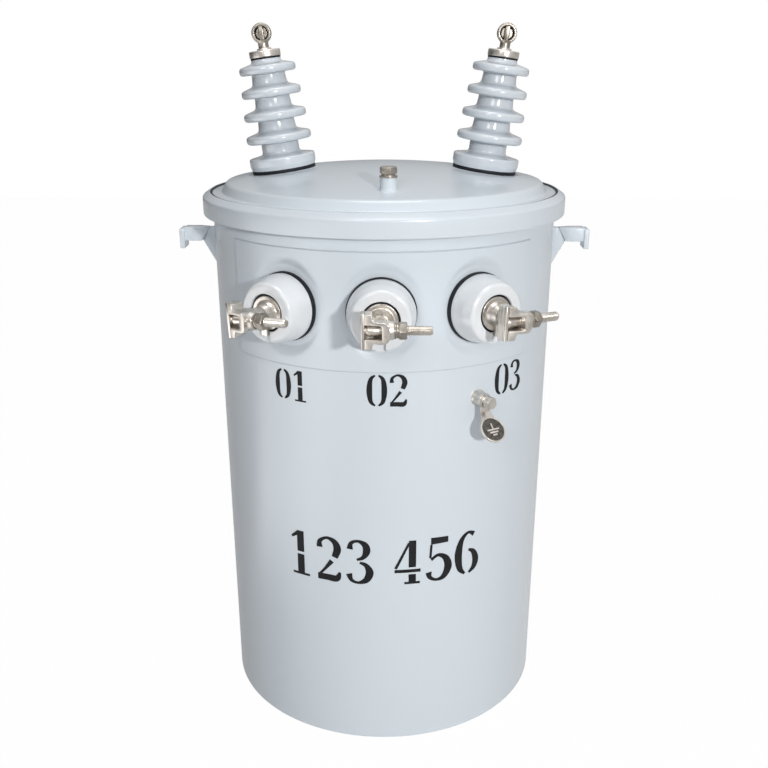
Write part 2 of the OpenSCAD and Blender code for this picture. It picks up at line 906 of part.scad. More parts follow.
tank_wall();
tank_bottom();
bushing_panel();
core_and_coils();
cover();
cover_gasket();
cover_band();
band_bolt();
cover_post();
cover_bolt();
hv_bushing(-1);  // hv_bushing_left
hv_bushing(1);  // hv_bushing_right
hv_gasket(-1);  // hv_gasket_left
hv_gasket(1);  // hv_gasket_right
hv_cap(-1);  // hv_cap_left
hv_cap(1);  // hv_cap_right
hv_eyebolt(-1);  // hv_eyebolt_left
hv_eyebolt(1);  // hv_eyebolt_right
hv_keeper(-1);  // hv_keeper_left
hv_keeper(1);  // hv_keeper_right
lv_bushing(lv_angles[0]);  // lv_bushing_left
lv_bushing(lv_angles[1]);  // lv_bushing_middle
lv_bushing(lv_angles[2]);  // lv_bushing_right
lv_gasket(lv_angles[0]);  // lv_gasket_left
lv_gasket(lv_angles[1]);  // lv_gasket_middle
lv_gasket(lv_angles[2]);  // lv_gasket_right
lv_stud(lv_angles[0]);  // lv_stud_left
lv_stud(lv_angles[1]);  // lv_stud_middle
lv_stud(lv_angles[2]);  // lv_stud_right
lv_clamp(lv_angles[0], lv_turns[0]);  // lv_clamp_left
lv_clamp(lv_angles[1], lv_turns[1]);  // lv_clamp_middle
lv_clamp(lv_angles[2], lv_turns[2]);  // lv_clamp_right
lv_bolt(lv_angles[0], lv_turns[0]);  // lv_bolt_left
lv_bolt(lv_angles[1], lv_turns[1]);  // lv_bolt_middle
lv_bolt(lv_angles[2], lv_turns[2]);  // lv_bolt_right
lv_nut(lv_angles[0], lv_turns[0]);  // lv_nut_left
lv_nut(lv_angles[1], lv_turns[1]);  // lv_nut_middle
lv_nut(lv_angles[2], lv_turns[2]);  // lv_nut_right
lifting_lug(-1);  // lifting_lug_left
lifting_lug(1);  // lifting_lug_right
ground_boss();
ground_bolt();
ground_tag();
hanger(hanger_low_z);  // hanger_lower
hanger(hanger_low_z + hanger_pitch);  // hanger_upper
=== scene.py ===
import json
import math
import bpy
from mathutils import Matrix, Vector


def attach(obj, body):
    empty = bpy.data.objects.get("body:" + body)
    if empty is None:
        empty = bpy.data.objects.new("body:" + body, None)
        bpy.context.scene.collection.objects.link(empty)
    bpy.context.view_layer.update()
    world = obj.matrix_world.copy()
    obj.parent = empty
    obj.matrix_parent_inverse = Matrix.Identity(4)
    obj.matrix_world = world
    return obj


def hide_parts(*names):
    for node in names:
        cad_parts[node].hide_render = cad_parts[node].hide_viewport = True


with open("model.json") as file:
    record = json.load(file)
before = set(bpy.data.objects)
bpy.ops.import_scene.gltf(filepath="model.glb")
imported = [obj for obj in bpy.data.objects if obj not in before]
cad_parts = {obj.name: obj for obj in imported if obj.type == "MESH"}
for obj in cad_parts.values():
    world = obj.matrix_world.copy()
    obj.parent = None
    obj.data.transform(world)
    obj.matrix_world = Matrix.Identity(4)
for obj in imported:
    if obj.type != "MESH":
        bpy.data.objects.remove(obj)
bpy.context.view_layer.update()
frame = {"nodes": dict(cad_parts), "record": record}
nodes = frame["nodes"]
mm = 0.001
print("frame loaded:", len(nodes), "nodes")


class Wire:
    def __init__(self, tree, socket):
        self.tree = tree
        self.socket = socket

    def maths(self, operation, other):
        return addNode(self.tree, "ShaderNodeMath", {"operation": operation}, [self, other])

    def __add__(self, other):
        return self.maths("ADD", other)

    def __sub__(self, other):
        return self.maths("SUBTRACT", other)

    def __mul__(self, other):
        return self.maths("MULTIPLY", other)

    __rmul__ = __mul__


def addNode(tree, kind, settings=None, inputs=None, output=0):
    node = tree.nodes.new(kind)
    for key, value in (settings or {}).items():
        setattr(node, key, value)
    pairs = inputs.items() if isinstance(inputs, dict) else enumerate(inputs or [])
    for key, value in pairs:
        if isinstance(value, Wire):
            tree.links.new(value.socket, node.inputs[key])
        else:
            node.inputs[key].default_value = value
    return Wire(tree, node.outputs[output])


def noiseField(tree, scale):
    place = addNode(tree, "ShaderNodeTexCoord", output="Object")
    return addNode(tree, "ShaderNodeTexNoise", {}, {"Vector": place, "Scale": scale, "Detail": 2.0})


def smoothStep(tree, value, low, high, first=0.0, last=1.0):
    ends = {"Value": value, "From Min": low, "From Max": high, "To Min": first, "To Max": last}
    return addNode(tree, "ShaderNodeMapRange", {"interpolation_type": "SMOOTHSTEP"}, ends)


def makeFinish(name, look):
    finish = bpy.data.materials.new(name)
    finish.use_nodes = True
    tree = finish.node_tree
    shader = tree.nodes["Principled BSDF"]
    grain = noiseField(tree, look["grainScale"])
    spread = smoothStep(tree, noiseField(tree, look["cloudScale"]), 0.2, 0.8)
    tone = addNode(tree, "ShaderNodeMix", {"data_type": "RGBA"},
                   {"Factor": spread, "A": (*look["dark"], 1), "B": (*look["light"], 1)}, output=2)
    tree.links.new(tone.socket, shader.inputs["Base Color"])
    rough = spread * look["roughSpread"] + look["rough"] + (grain - 0.5) * look.get("roughGrain", 0.0)
    tree.links.new(rough.socket, shader.inputs["Roughness"])
    bump = addNode(tree, "ShaderNodeBump", {},
                   {"Strength": look["bump"], "Distance": look["depth"], "Height": grain})
    tree.links.new(bump.socket, shader.inputs["Normal"])
    shader.inputs["Metallic"].default_value = look.get("metal", 0.0)
    shader.inputs["Coat Weight"].default_value = look.get("coat", 0.0)
    shader.inputs["Coat Roughness"].default_value = look.get("coatRough", 0.05)
    shader.inputs["Specular IOR Level"].default_value = look.get("specular", 0.5)
    return finish


finishLooks = {
    "tankPaint": {"light": (0.635, 0.690, 0.740), "dark": (0.620, 0.676, 0.726),
                  "cloudScale": 1.3, "grainScale": 240.0, "rough": 0.26, "roughSpread": 0.0,
                  "bump": 0.06, "depth": 0.0005, "coat": 0.25, "coatRough": 0.08},
    "sheddedGlaze": {"light": (0.62, 0.665, 0.71), "dark": (0.57, 0.61, 0.655),
                     "cloudScale": 22.0, "grainScale": 420.0, "rough": 0.12, "roughSpread": 0.08,
                     "bump": 0.05, "depth": 0.0004, "coat": 0.6, "coatRough": 0.04},
    "drumGlaze": {"light": (0.76, 0.78, 0.80), "dark": (0.70, 0.725, 0.75),
                  "cloudScale": 26.0, "grainScale": 380.0, "rough": 0.12, "roughSpread": 0.08,
                  "bump": 0.06, "depth": 0.0004, "coat": 0.6, "coatRough": 0.04},
    "tinPlate": {"light": (0.745, 0.705, 0.65), "dark": (0.54, 0.50, 0.455),
                 "cloudScale": 70.0, "grainScale": 900.0, "rough": 0.26, "roughSpread": 0.12, "roughGrain": 0.15,
                 "bump": 0.12, "depth": 0.0003, "metal": 1.0},
    "boltSteel": {"light": (0.42, 0.39, 0.35), "dark": (0.27, 0.245, 0.21),
                  "cloudScale": 90.0, "grainScale": 1100.0, "rough": 0.30, "roughSpread": 0.16, "roughGrain": 0.2,
                  "bump": 0.15, "depth": 0.0003, "metal": 1.0},
    # black rubber for the gaskets; the same black also serves as painted shade inside the eye of the high voltage
    # eyebolts
    "gasketRubber": {"light": (0.017, 0.019, 0.024), "dark": (0.009, 0.010, 0.014),
                     "cloudScale": 60.0, "grainScale": 1500.0, "rough": 0.52, "roughSpread": 0.15,
                     "bump": 0.2, "depth": 0.0003, "specular": 0.2},
    "stencilInk": {"light": (0.024, 0.024, 0.026), "dark": (0.014, 0.014, 0.016),
                   "cloudScale": 40.0, "grainScale": 900.0, "rough": 0.46, "roughSpread": 0.2,
                   "bump": 0.12, "depth": 0.0002, "specular": 0.1},
    # a little darker than the tank paint, for the bead along the panel's edge
    "jointPaint": {"light": (0.53, 0.575, 0.62), "dark": (0.49, 0.535, 0.58),
                   "cloudScale": 30.0, "grainScale": 400.0, "rough": 0.4, "roughSpread": 0.1,
                   "bump": 0.1, "depth": 0.0003},
    "tagFace": {"light": (0.16, 0.15, 0.135), "dark": (0.07, 0.066, 0.06),
                "cloudScale": 160.0, "grainScale": 1200.0, "rough": 0.38, "roughSpread": 0.15,
                "bump": 0.25, "depth": 0.0003, "metal": 1.0},
}
finishes = {name: makeFinish(name, look) for name, look in finishLooks.items()}
slotFinish = {"tank_paint": "tankPaint", "hv_glaze": "sheddedGlaze", "lv_glaze": "drumGlaze",
              "tin_plate": "tinPlate", "bolt_steel": "boltSteel", "gasket_rubber": "gasketRubber"}
for entry in frame["record"]["subparts"]:
    mesh = nodes[entry["node"]].data
    mesh.materials.clear()
    mesh.materials.append(finishes[slotFinish[entry["material_slot"]]])
print("finishes made:", len(finishes))


def pick(*chosen):
    bpy.ops.object.select_all(action="DESELECT")
    for piece in chosen:
        piece.select_set(True)
    bpy.context.view_layer.objects.active = chosen[0]


def rawPiece(name, points, edges, faces):
    mesh = bpy.data.meshes.new(name)
    mesh.from_pydata([Vector(p) * mm for p in points], edges, faces)
    piece = bpy.data.objects.new(name, mesh)
    bpy.context.collection.objects.link(piece)
    pick(piece)
    return piece


def faceOut(piece):
    pick(piece)
    bpy.ops.object.mode_set(mode="EDIT")
    bpy.ops.mesh.select_all(action="SELECT")
    bpy.ops.mesh.normals_make_consistent(inside=False)
    bpy.ops.object.mode_set(mode="OBJECT")
    return piece


def closeUp(piece):  # merge doubles, fill open ends, face outwards
    pick(piece)
    bpy.ops.object.mode_set(mode="EDIT")
    bpy.ops.mesh.select_all(action="SELECT")
    bpy.ops.mesh.remove_doubles(threshold=0.000004)
    bpy.ops.mesh.select_all(action="DESELECT")
    bpy.ops.mesh.select_non_manifold(extend=False, use_wire=False, use_boundary=True, use_multi_face=False,
                                     use_non_contiguous=False, use_verts=False)
    bpy.ops.mesh.fill_holes(sides=0)
    bpy.ops.object.mode_set(mode="OBJECT")
    return faceOut(piece)


def softCorners(corners, closed=True, steps=6):
    path = []
    count = len(corners)
    for i, corner in enumerate(corners):
        at = Vector(corner[:2])
        radius = corner[2] if len(corner) > 2 else 0
        if not radius or (not closed and i in (0, count - 1)):
            path.append(tuple(at))
            continue
        back = Vector(corners[i - 1][:2]) - at
        ahead = Vector(corners[(i + 1) % count][:2]) - at
        reach = min(radius / math.tan(back.angle(ahead) / 2), 0.49 * back.length, 0.49 * ahead.length)
        start = at + back.normalized() * reach
        end = at + ahead.normalized() * reach
        for k in range(steps + 1):
            t = k / steps
            path.append(tuple(start * (1 - t) ** 2 + at * (2 * t * (1 - t)) + end * t * t))
    return path


def spinPiece(name, corners, steps=96, closed=True, turn=360.0, start=0.0):
    outline = softCorners(corners, closed)
    edges = [(i, i + 1) for i in range(len(outline) - 1)]
    if closed:
        edges.append((len(outline) - 1, 0))
    begin = math.radians(start)
    piece = rawPiece(name, [(r * math.cos(begin), r * math.sin(begin), z) for r, z in outline], edges, [])
    bpy.ops.object.mode_set(mode="EDIT")
    bpy.ops.mesh.select_all(action="SELECT")
    bpy.ops.mesh.spin(steps=steps, angle=math.radians(turn), center=(0, 0, 0), axis=(0, 0, 1))
    bpy.ops.object.mode_set(mode="OBJECT")
    return closeUp(piece)


def rodPiece(name, radius, low, high, steps=64):
    return spinPiece(name, [(0, low), (radius, low), (radius, high), (0, high)], steps, closed=False)


def ringPiece(name, inner, outer, low, high, soft, steps=64, **sweep):  # soft: inner and outer corners
    corners = [(inner, low, soft[0]), (outer, low, soft[1]), (outer, high, soft[1]), (inner, high, soft[0])]
    return spinPiece(name, corners, steps, **sweep)


def platePiece(name, corners, depth, low=0.0):
    outline = softCorners(corners)
    piece = rawPiece(name, [(x, y, low) for x, y in outline], [], [list(range(len(outline)))])
    bpy.ops.object.mode_set(mode="EDIT")
    bpy.ops.mesh.select_all(action="SELECT")
    bpy.ops.mesh.extrude_region_move(TRANSFORM_OT_translate={"value": (0, 0, depth * mm)})
    bpy.ops.object.mode_set(mode="OBJECT")
    return closeUp(piece)


def blockPiece(name, low, high):
    bpy.ops.object.select_all(action="DESELECT")
    middle = [(a + b) / 2 * mm for a, b in zip(low, high)]
    bpy.ops.mesh.primitive_cube_add(size=1, location=middle)
    piece = bpy.context.object
    piece.name = name
    piece.scale = [(b - a) * mm for a, b in zip(low, high)]
    bpy.ops.object.transform_apply(location=True, rotation=True, scale=True)
    return piece


def moved(piece, place):
    piece.matrix_world = place
    pick(piece)
    bpy.ops.object.transform_apply(location=True, rotation=True, scale=True)
    return piece


def copied(piece, name, place):
    twin = piece.copy()
    twin.data = piece.data.copy()
    twin.name = name
    bpy.context.collection.objects.link(twin)
    return moved(twin, place)


def withModifier(piece, kind, **settings):
    pick(piece)
    bpy.ops.object.modifier_add(type=kind)
    modifier = piece.modifiers[-1]
    for key, value in settings.items():
        setattr(modifier, key, value)
    bpy.ops.object.modifier_apply(modifier=modifier.name)
    return piece


def bevelled(piece, width, segments=3, angle=35):
    return withModifier(piece, "BEVEL", width=width * mm, segments=segments, limit_method="ANGLE",
                        angle_limit=math.radians(angle))


def cutBy(piece, tool, operation="DIFFERENCE"):
    withModifier(piece, "BOOLEAN", object=tool, operation=operation, solver="EXACT")
    bpy.data.objects.remove(tool)
    return piece


def joined(name, *parts):
    pick(*parts)
    bpy.ops.object.join()
    parts[0].name = name
    return parts[0]


def smoothed(piece, angle=38):
    pick(piece)
    bpy.ops.object.shade_smooth_by_angle(angle=math.radians(angle))
    return piece


def dressed(piece, slotName, *standsFor, finish=None, angle=38):
    piece.data.materials.clear()
    piece.data.materials.append(finishes[finish or slotFinish[slotName]])
    smoothed(piece, angle)
    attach(piece, "root")
    if standsFor:
        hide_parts(*standsFor)
    return piece


def hexPiece(name, flats, height, bothEnds=True):
    corner = flats / math.sqrt(3)
    flat = 0.47 * flats
    beyond = corner + 0.2
    bpy.ops.object.select_all(action="DESELECT")
    bpy.ops.mesh.primitive_cylinder_add(vertices=6, radius=corner * mm, depth=height * mm,
                                        location=(0, 0, height * mm / 2))
    piece = bpy.context.object
    piece.name = name
    bpy.ops.object.transform_apply(location=True, rotation=True, scale=True)
    drop = (corner - flat) * math.tan(math.radians(30))
    foot = [(0, 0), (flat, 0), (beyond, drop)] if bothEnds else [(0, 0), (beyond, 0)]
    top = [(beyond, height - drop), (flat, height), (0, height)]
    cutBy(piece, spinPiece(name + "Lens", foot + top, 72, closed=False), "INTERSECT")
    return bevelled(piece, 0.35, 2)


def threadOutline(radius, low, high, pitch, depth):
    turns = int((high - low) / pitch)
    outline = []
    for i in range(turns):
        outline += [(radius - depth, low + i * pitch), (radius, low + (i + 0.42) * pitch),
                    (radius, low + (i + 0.58) * pitch)]
    return outline + [(radius - depth, low + turns * pitch)]


def weldBead(name, path, width, closed=False):
    curve = bpy.data.curves.new(name, "CURVE")
    curve.dimensions = "3D"
    curve.bevel_depth = width * mm
    curve.bevel_resolution = 2
    line = curve.splines.new("POLY")
    line.points.add(len(path) - 1)
    line.use_cyclic_u = closed
    for i, point in enumerate(path):
        line.points[i].co = (*(Vector(point) * mm), 1)
        line.points[i].radius = 1.0 + 0.12 * math.sin(i * 1.9)
    curve.use_fill_caps = True
    bead = bpy.data.objects.new(name, curve)
    bpy.context.collection.objects.link(bead)
    pick(bead)
    bpy.ops.object.convert(target="MESH")
    return bpy.context.object


def shifted(x, y, z):
    return Matrix.Translation((x * mm, y * mm, z * mm))


def turned(degrees, axis):
    return Matrix.Rotation(math.radians(degrees), 4, axis)


def onTank(angle, rho, height):
    return shifted(0, 0, height) @ turned(angle, "Z") @ shifted(0, -rho, 0) @ turned(90, "X")


turnX = turned(90, "Y")  # local z turned onto x
names = ("left", "middle", "right")

# tank and its foot
tank = {"radius": 300.0, "wall": 3.0, "height": 936.0, "rim": 306.0, "rimHeight": 19.5, "steps": 256,
        "footBead": [(297.2, 10.5), (297.2, 15.2), (291.5, 15.2), (293.5, 12.2)]}
tankR = tank["radius"]
tankIn = tankR - tank["wall"]
rimLow = tank["height"] - tank["rimHeight"]
tankShell = spinPiece("tankShell", [
    (tankIn, 0), (tankR, 0, 1.0), (tankR, rimLow), (tank["rim"], rimLow), (tank["rim"], tank["height"]),
    (tankIn, tank["height"])], tank["steps"])
lv = {"angle": 30.3, "height": 798.8, "rho": 304.0, "seal": 8.5, "turns": (4.0, 0.0, -1.0), "room": 82.0}
lvAngles = (-lv["angle"], 0.0, lv["angle"])
seatRho = lv["rho"] - lv["seal"]
for angle in lvAngles:
    seatRoom = rodPiece("seatRoom", lv["room"], -3, 20, 128)
    cutBy(tankShell, moved(seatRoom, onTank(angle, seatRho, lv["height"])))
dressed(tankShell, "tank_paint", "tank_wall")
footBead = spinPiece("footBead", tank["footBead"], 192)
dressed(footBead, "tank_paint", angle=60)
print("tank done")

# front panel with its pressed seats
panel = {"halfAngle": 52.3, "low": 704.0, "high": 891.0, "proud": 1.5, "sunk": 0.6, "seat": 66.0, "slope": 0.455,
         "sheet": 1.2, "floorSoft": 1.5, "rimSoft": 2.0, "across": 280, "up": 96,
         "jointTurn": 0.15, "jointOut": 0.8, "jointBead": 1.1, "jointSteps": 72}
panelMid = (panel["low"] + panel["high"]) / 2
panelHalf = (panel["high"] - panel["low"]) / 2


def panelRho(phi, height):
    rho = tankR + panel["proud"]
    for angle in lvAngles:
        turn = phi - math.radians(angle)
        if abs(turn) > 0.6:
            continue
        out = math.hypot(tankR * math.sin(turn), height - lv["height"]) - panel["seat"]
        flank = 0.5 * (out + math.sqrt(out * out + panel["floorSoft"] ** 2))
        seat = (seatRho + flank * panel["slope"]) / math.cos(turn)
        gap = rho - seat
        rho = 0.5 * (rho + seat - math.sqrt(gap * gap + panel["rimSoft"] ** 2))
    return rho


bpy.ops.object.select_all(action="DESELECT")
bpy.ops.mesh.primitive_grid_add(x_subdivisions=panel["across"], y_subdivisions=panel["up"], size=2)
pressedPanel = bpy.context.object
pressedPanel.name = "pressedPanel"
for point in pressedPanel.data.vertices:
    u, v = point.co.x, point.co.y
    edge = max(abs(u), abs(v)) > 0.9999
    stretchU = max(-1, min(1, u * panel["across"] / (panel["across"] - 2)))
    stretchV = max(-1, min(1, v * panel["up"] / (panel["up"] - 2)))
    phi = math.radians(panel["halfAngle"]) * stretchU
    height = panelMid + panelHalf * stretchV
    rho = tankR - panel["sunk"] if edge else panelRho(phi, height)
    point.co = Vector((rho * math.sin(phi), -rho * math.cos(phi), height)) * mm
faceOut(pressedPanel)
withModifier(pressedPanel, "SOLIDIFY", thickness=panel["sheet"] * mm, offset=-1)
dressed(pressedPanel, "tank_paint", "bushing_panel", angle=50)
jointPath = []
for start, end in (((-1, 1), (1, 1)), ((1, 1), (1, -1)), ((1, -1), (-1, -1)), ((-1, -1), (-1, 1))):
    for k in range(panel["jointSteps"]):
        u, v = (a + (b - a) * k / panel["jointSteps"] for a, b in zip(start, end))
        phi = math.radians(panel["halfAngle"] + panel["jointTurn"]) * u
        height = panelMid + (panelHalf + panel["jointOut"]) * v
        jointPath.append((tankR * math.sin(phi), -tankR * math.cos(phi), height))
# the bead round the panel's edge is coloured a little darker than the tank
panelJoint = weldBead("panelJoint", jointPath, panel["jointBead"], closed=True)
dressed(panelJoint, "tank_paint", finish="jointPaint", angle=60)
print("panel done")

# cover, its seats, gasket and band
cover = {"flangeZ": 948.0, "flange": 303.0, "foot": 284.0, "crown": 277.0, "crownZ": 965.0, "rise": 27.0,
         "sheet": 4.0, "steps": 256}
flangeLow = cover["flangeZ"] - cover["sheet"]
crownTop = [(r, cover["crownZ"] + cover["rise"] * (1 - (r / cover["crown"]) ** 2)) for r in range(0, 246, 15)]
coverDish = spinPiece("coverDish", crownTop + [
    (cover["crown"] - 1.5, cover["crownZ"], 11.0), (cover["foot"], cover["flangeZ"] + 1.0, 4.0),
    (cover["flange"], cover["flangeZ"], 0.8), (cover["flange"], flangeLow), (cover["foot"] - 4, flangeLow),
    (cover["crown"] - 6, cover["crownZ"] - cover["sheet"]),
    (0, cover["crownZ"] + cover["rise"] - cover["sheet"])], cover["steps"], closed=False)

hv = {"x": 175.5, "z": 980.0, "tilt": 7.7, "gasket": 5.5, "top": 181.1, "shedFirst": 50.5, "shedPitch": 37.2,
      "shedLow": 56.35, "shedHigh": 48.0, "coreLow": 32.3, "coreHigh": 28.0,
      "seat": [(0, -20), (80, -20), (71, -6.5, 6), (63, -2, 4), (58.5, 0, 2), (0, 0)],
      "seatCut": [(0, -0.4), (60.5, -0.4), (63, 12), (0, 12)]}


def onCover(side, lift=0.0):
    return shifted(side * hv["x"], 0, hv["z"]) @ turned(side * hv["tilt"], "Y") @ shifted(0, 0, lift)


for side, name in ((-1, "left"), (1, "right")):
    seat = spinPiece("coverSeat_" + name, hv["seat"], 128, closed=False)
    dressed(moved(seat, onCover(side)), "tank_paint", angle=60)
    seatCut = spinPiece("seatCut", hv["seatCut"], 128, closed=False)
    cutBy(coverDish, moved(seatCut, onCover(side)))
dressed(coverDish, "tank_paint", "cover")

coverSeal = spinPiece("coverSeal", [
    (293, tank["height"]), (306, tank["height"]), (306, 943), (303.6, 949.7, 0.6), (300, 949.7, 0.6),
    (300, 948.4), (303.1, 948.4), (303.1, 940), (293, 940)], cover["steps"])
dressed(coverSeal, "gasket_rubber", "cover_gasket")

band = {"low": 913.0, "high": 942.5, "inner": 301.5, "outer": 317.0, "lip": 303.6, "lipZ": 951.0, "sheet": 3.2,
        "gap": 12.0, "ear": [(314, 914, 1), (348, 914, 6), (348, 946, 6), (314, 946, 1)], "earWide": 6.0}
gapTurn = math.degrees(band["gap"] / band["outer"])
bandFloor = band["low"] + band["sheet"]
clampBand = spinPiece("clampBand", [
    (band["inner"], band["low"]), (band["outer"], band["low"], 3.0), (band["outer"], band["high"], 6.0),
    (band["lip"], band["lipZ"], 1.2), (band["lip"] + 0.6, band["lipZ"] - band["sheet"]),
    (band["outer"] - 5, band["high"] - band["sheet"], 4.0), (band["outer"] - band["sheet"], bandFloor),
    (band["inner"], bandFloor)], cover["steps"], turn=360 - gapTurn, start=90 + gapTurn / 2)
ears = []
for x in (-band["gap"] / 2 - band["earWide"], band["gap"] / 2):
    ear = platePiece("bandEar", band["ear"], band["earWide"])
    upright = Matrix(((0, 0, 1, x * mm), (1, 0, 0, 0), (0, 1, 0, 0), (0, 0, 0, 1)))
    ears.append(bevelled(moved(ear, upright), 0.8, 2))
dressed(joined("clampBand", clampBand, *ears), "tank_paint", "cover_band")

closer = {"place": (-12, 334, 930), "radius": 6.0, "threadLow": 20, "threadHigh": 49, "flats": 18,
          "head": 7.8, "nut": 8.5, "nutAt": 24}
closerOutline = [(0, -1), (closer["radius"], -1), (closer["radius"], closer["threadLow"])]
closerOutline += threadOutline(closer["radius"], closer["threadLow"], closer["threadHigh"], 1.75, 0.9)
closerBolt = spinPiece("closerBolt", closerOutline + [(4.5, 50), (0, 50)], 48, closed=False)
closerHead = hexPiece("closerHead", closer["flats"], closer["head"], False)
moved(closerHead, shifted(0, 0, -1) @ turned(180, "X"))
closerNut = moved(hexPiece("closerNut", closer["flats"], closer["nut"]), shifted(0, 0, closer["nutAt"]))
closerWasher = ringPiece("closerWasher", 5.8, 12, -1.2, 0.1, (0.3, 0.5), 48)
closerSet = joined("closerBolt", closerBolt, closerHead, closerNut, closerWasher)
dressed(moved(closerSet, shifted(*closer["place"]) @ turnX), "bolt_steel", "band_bolt")
print("cover and band done")

# post near the front edge of the cover
post = {"reach": 225.0, "angle": 2.5, "foot": 972.0, "height": 21.5, "radius": 13.35,
        "flats": 24, "head": 11, "headAt": 4.8, "headTurn": 12}
postPlace = turned(post["angle"], "Z") @ shifted(0, -post["reach"], post["foot"])
coverPost = spinPiece("coverPost", [
    (0, -5), (18.6, -5), (18.2, -0.6, 1.2), (15, 1, 2), (post["radius"], 4.5, 3),
    (post["radius"], post["height"], 1.6), (0, post["height"])], 96, closed=False)
dressed(moved(coverPost, postPlace), "tank_paint", "cover_post")
postWasher = spinPiece("postWasher", [
    (0, 0), (14.2, 0, 0.6), (14.2, 2.5, 0.8), (10.6, 2.5), (10.6, 4.9), (0, 4.9)], 72, closed=False)
postHead = hexPiece("postHead", post["flats"], post["head"])
moved(postHead, shifted(0, 0, post["headAt"]) @ turned(post["headTurn"], "Z"))
postBolt = joined("postBolt", postWasher, postHead)
dressed(moved(postBolt, postPlace @ shifted(0, 0, post["height"])), "bolt_steel", "cover_bolt")

# high voltage bushings
shedOutline = [(0, -46), (29, -46), (29, 0), (55, 0, 1.5), (57.25, 7, 4), (57.25, 20, 3.6), (hv["coreLow"], 24.5, 6)]
for i in range(4):
    share = i / 3
    rise = hv["shedFirst"] + i * hv["shedPitch"]
    reach = hv["shedLow"] + (hv["shedHigh"] - hv["shedLow"]) * share
    core = hv["coreLow"] + (hv["coreHigh"] - hv["coreLow"]) * share
    shedOutline += [(core, rise - 5.6, 4), (reach, rise - 6.6, 6), (reach, rise + 6.2, 6), (core + 0.6, rise + 12.6, 7)]
shedOutline[-1] = (25.3, shedOutline[-1][1] - 1, 4)  # the last one ends in the neck
shedOutline += [(24.9, hv["top"], 1), (0, hv["top"])]
porcelain = spinPiece("hvPorcelain_left", shedOutline, 128, closed=False)
hvSeal = ringPiece("hvSeal_left", 29, 55.5, 0.2, 5.3, (0, 1.6), 128)
capSeal = spinPiece("capSeal_left", [(12, -2.4), (25.5, -2.4, 0.5), (25.5, 0.5, 0.4), (12, 0.5)], 96)
cap = spinPiece("hvCap_left", [
    (0, 0.4), (26.4, 0.4, 1.2), (26.4, 11.5, 2.4), (15, 11.5), (12, 12.6, 1), (12, 14.5, 0.8), (0, 14.5)],
    96, closed=False)

eye = {"z": 38.0, "inner": 11.5, "outer": 16.5, "half": 6.5}
eyeMiddle = shifted(0, 0, eye["z"])
eyeRing = ringPiece("eyeRing", eye["inner"], eye["outer"], -eye["half"], eye["half"], (1.8, 2.4), 72)
moved(eyeRing, eyeMiddle @ turned(90, "X"))
eyeStud = spinPiece("eyeStud", [
    (0, 11), (9.3, 11), (8.7, 17, 4), (8.7, 23, 3), (9.8, 27), (0, 27)], 64, closed=False)
eyebolt = joined("hvEyebolt_left", eyeRing, eyeStud)
keeperBar = blockPiece("keeperBar", (-4.2, -5.2, eye["z"] - 11.8), (4.2, 0.4, eye["z"] + 11.8))
bevelled(keeperBar, 1.6, 3)
keeperDisc = spinPiece("keeperDisc", [(0, -0.4), (9.6, -0.4, 0.8), (9.6, 4, 1), (0, 4)], 64, closed=False)
moved(keeperDisc, eyeMiddle @ turned(-90, "X"))
# painted shade: a black disc in the back of the eye's hole darkens the hole behind the keeper
eyeHoleShade = moved(rodPiece("eyeBack_left", 11.8, 3.6, 5.6), eyeMiddle @ turned(-90, "X"))
keeper = joined("hvKeeper_left", keeperBar, keeperDisc)

capLift = hv["gasket"] + hv["top"]
for part, lift, slotName, node, finish in (
        (porcelain, hv["gasket"], "hv_glaze", "hv_bushing", None),
        (hvSeal, 0, "gasket_rubber", "hv_gasket", None),
        (capSeal, capLift, "gasket_rubber", None, None),
        (cap, capLift, "tin_plate", "hv_cap", None),
        (eyebolt, capLift, "tin_plate", "hv_eyebolt", "boltSteel"),
        (keeper, capLift, "tin_plate", "hv_keeper", "boltSteel"),
        (eyeHoleShade, capLift, "gasket_rubber", None, None)):
    twin = copied(part, part.name.replace("left", "right"), onCover(1, lift))
    moved(part, onCover(-1, lift))
    for piece, name in ((part, "left"), (twin, "right")):
        dressed(piece, slotName, *([node + "_" + name] if node else []), finish=finish)
print("high voltage bushings done")

# low voltage bushings and their clamp terminals, in the frame of one bushing
drum = spinPiece("lvDrum_left", [
    (10, -34), (33, -34), (33, 0), (54, 0, 1.5), (54, 9, 10), (50.8, 28, 20), (46.3, 48, 7), (29.7, 48, 2.4),
    (29.7, 40, 1.5), (10, 40)], 128)
cutBy(drum, blockPiece("drumNotch", (-7.5, -60, 40.5), (7.5, -25, 60)))
lvSeal = ringPiece("lvSeal_left", 33, 55.4, -8.4, 0.1, (0, 1.5), 128)
studSeal = spinPiece("studSeal_left", [(26.3, 40), (29.8, 40), (29.8, 43.4, 1.2), (26.3, 43.4, 0.6)], 96)

studTurned = spinPiece("studTurned", [
    (0, -34), (10, -34), (10, 40), (26.5, 40, 0.8), (26.5, 46, 1.4), (19.5, 46, 2), (17, 51, 3), (13.5, 62, 8),
    (13.5, 88), (0, 88)], 96, closed=False)
studPeg = bevelled(blockPiece("studPeg", (-5.5, -34, 46), (5.5, -8, 54)), 1.2, 2)
stud = joined("lvStud_left", studTurned, studPeg)

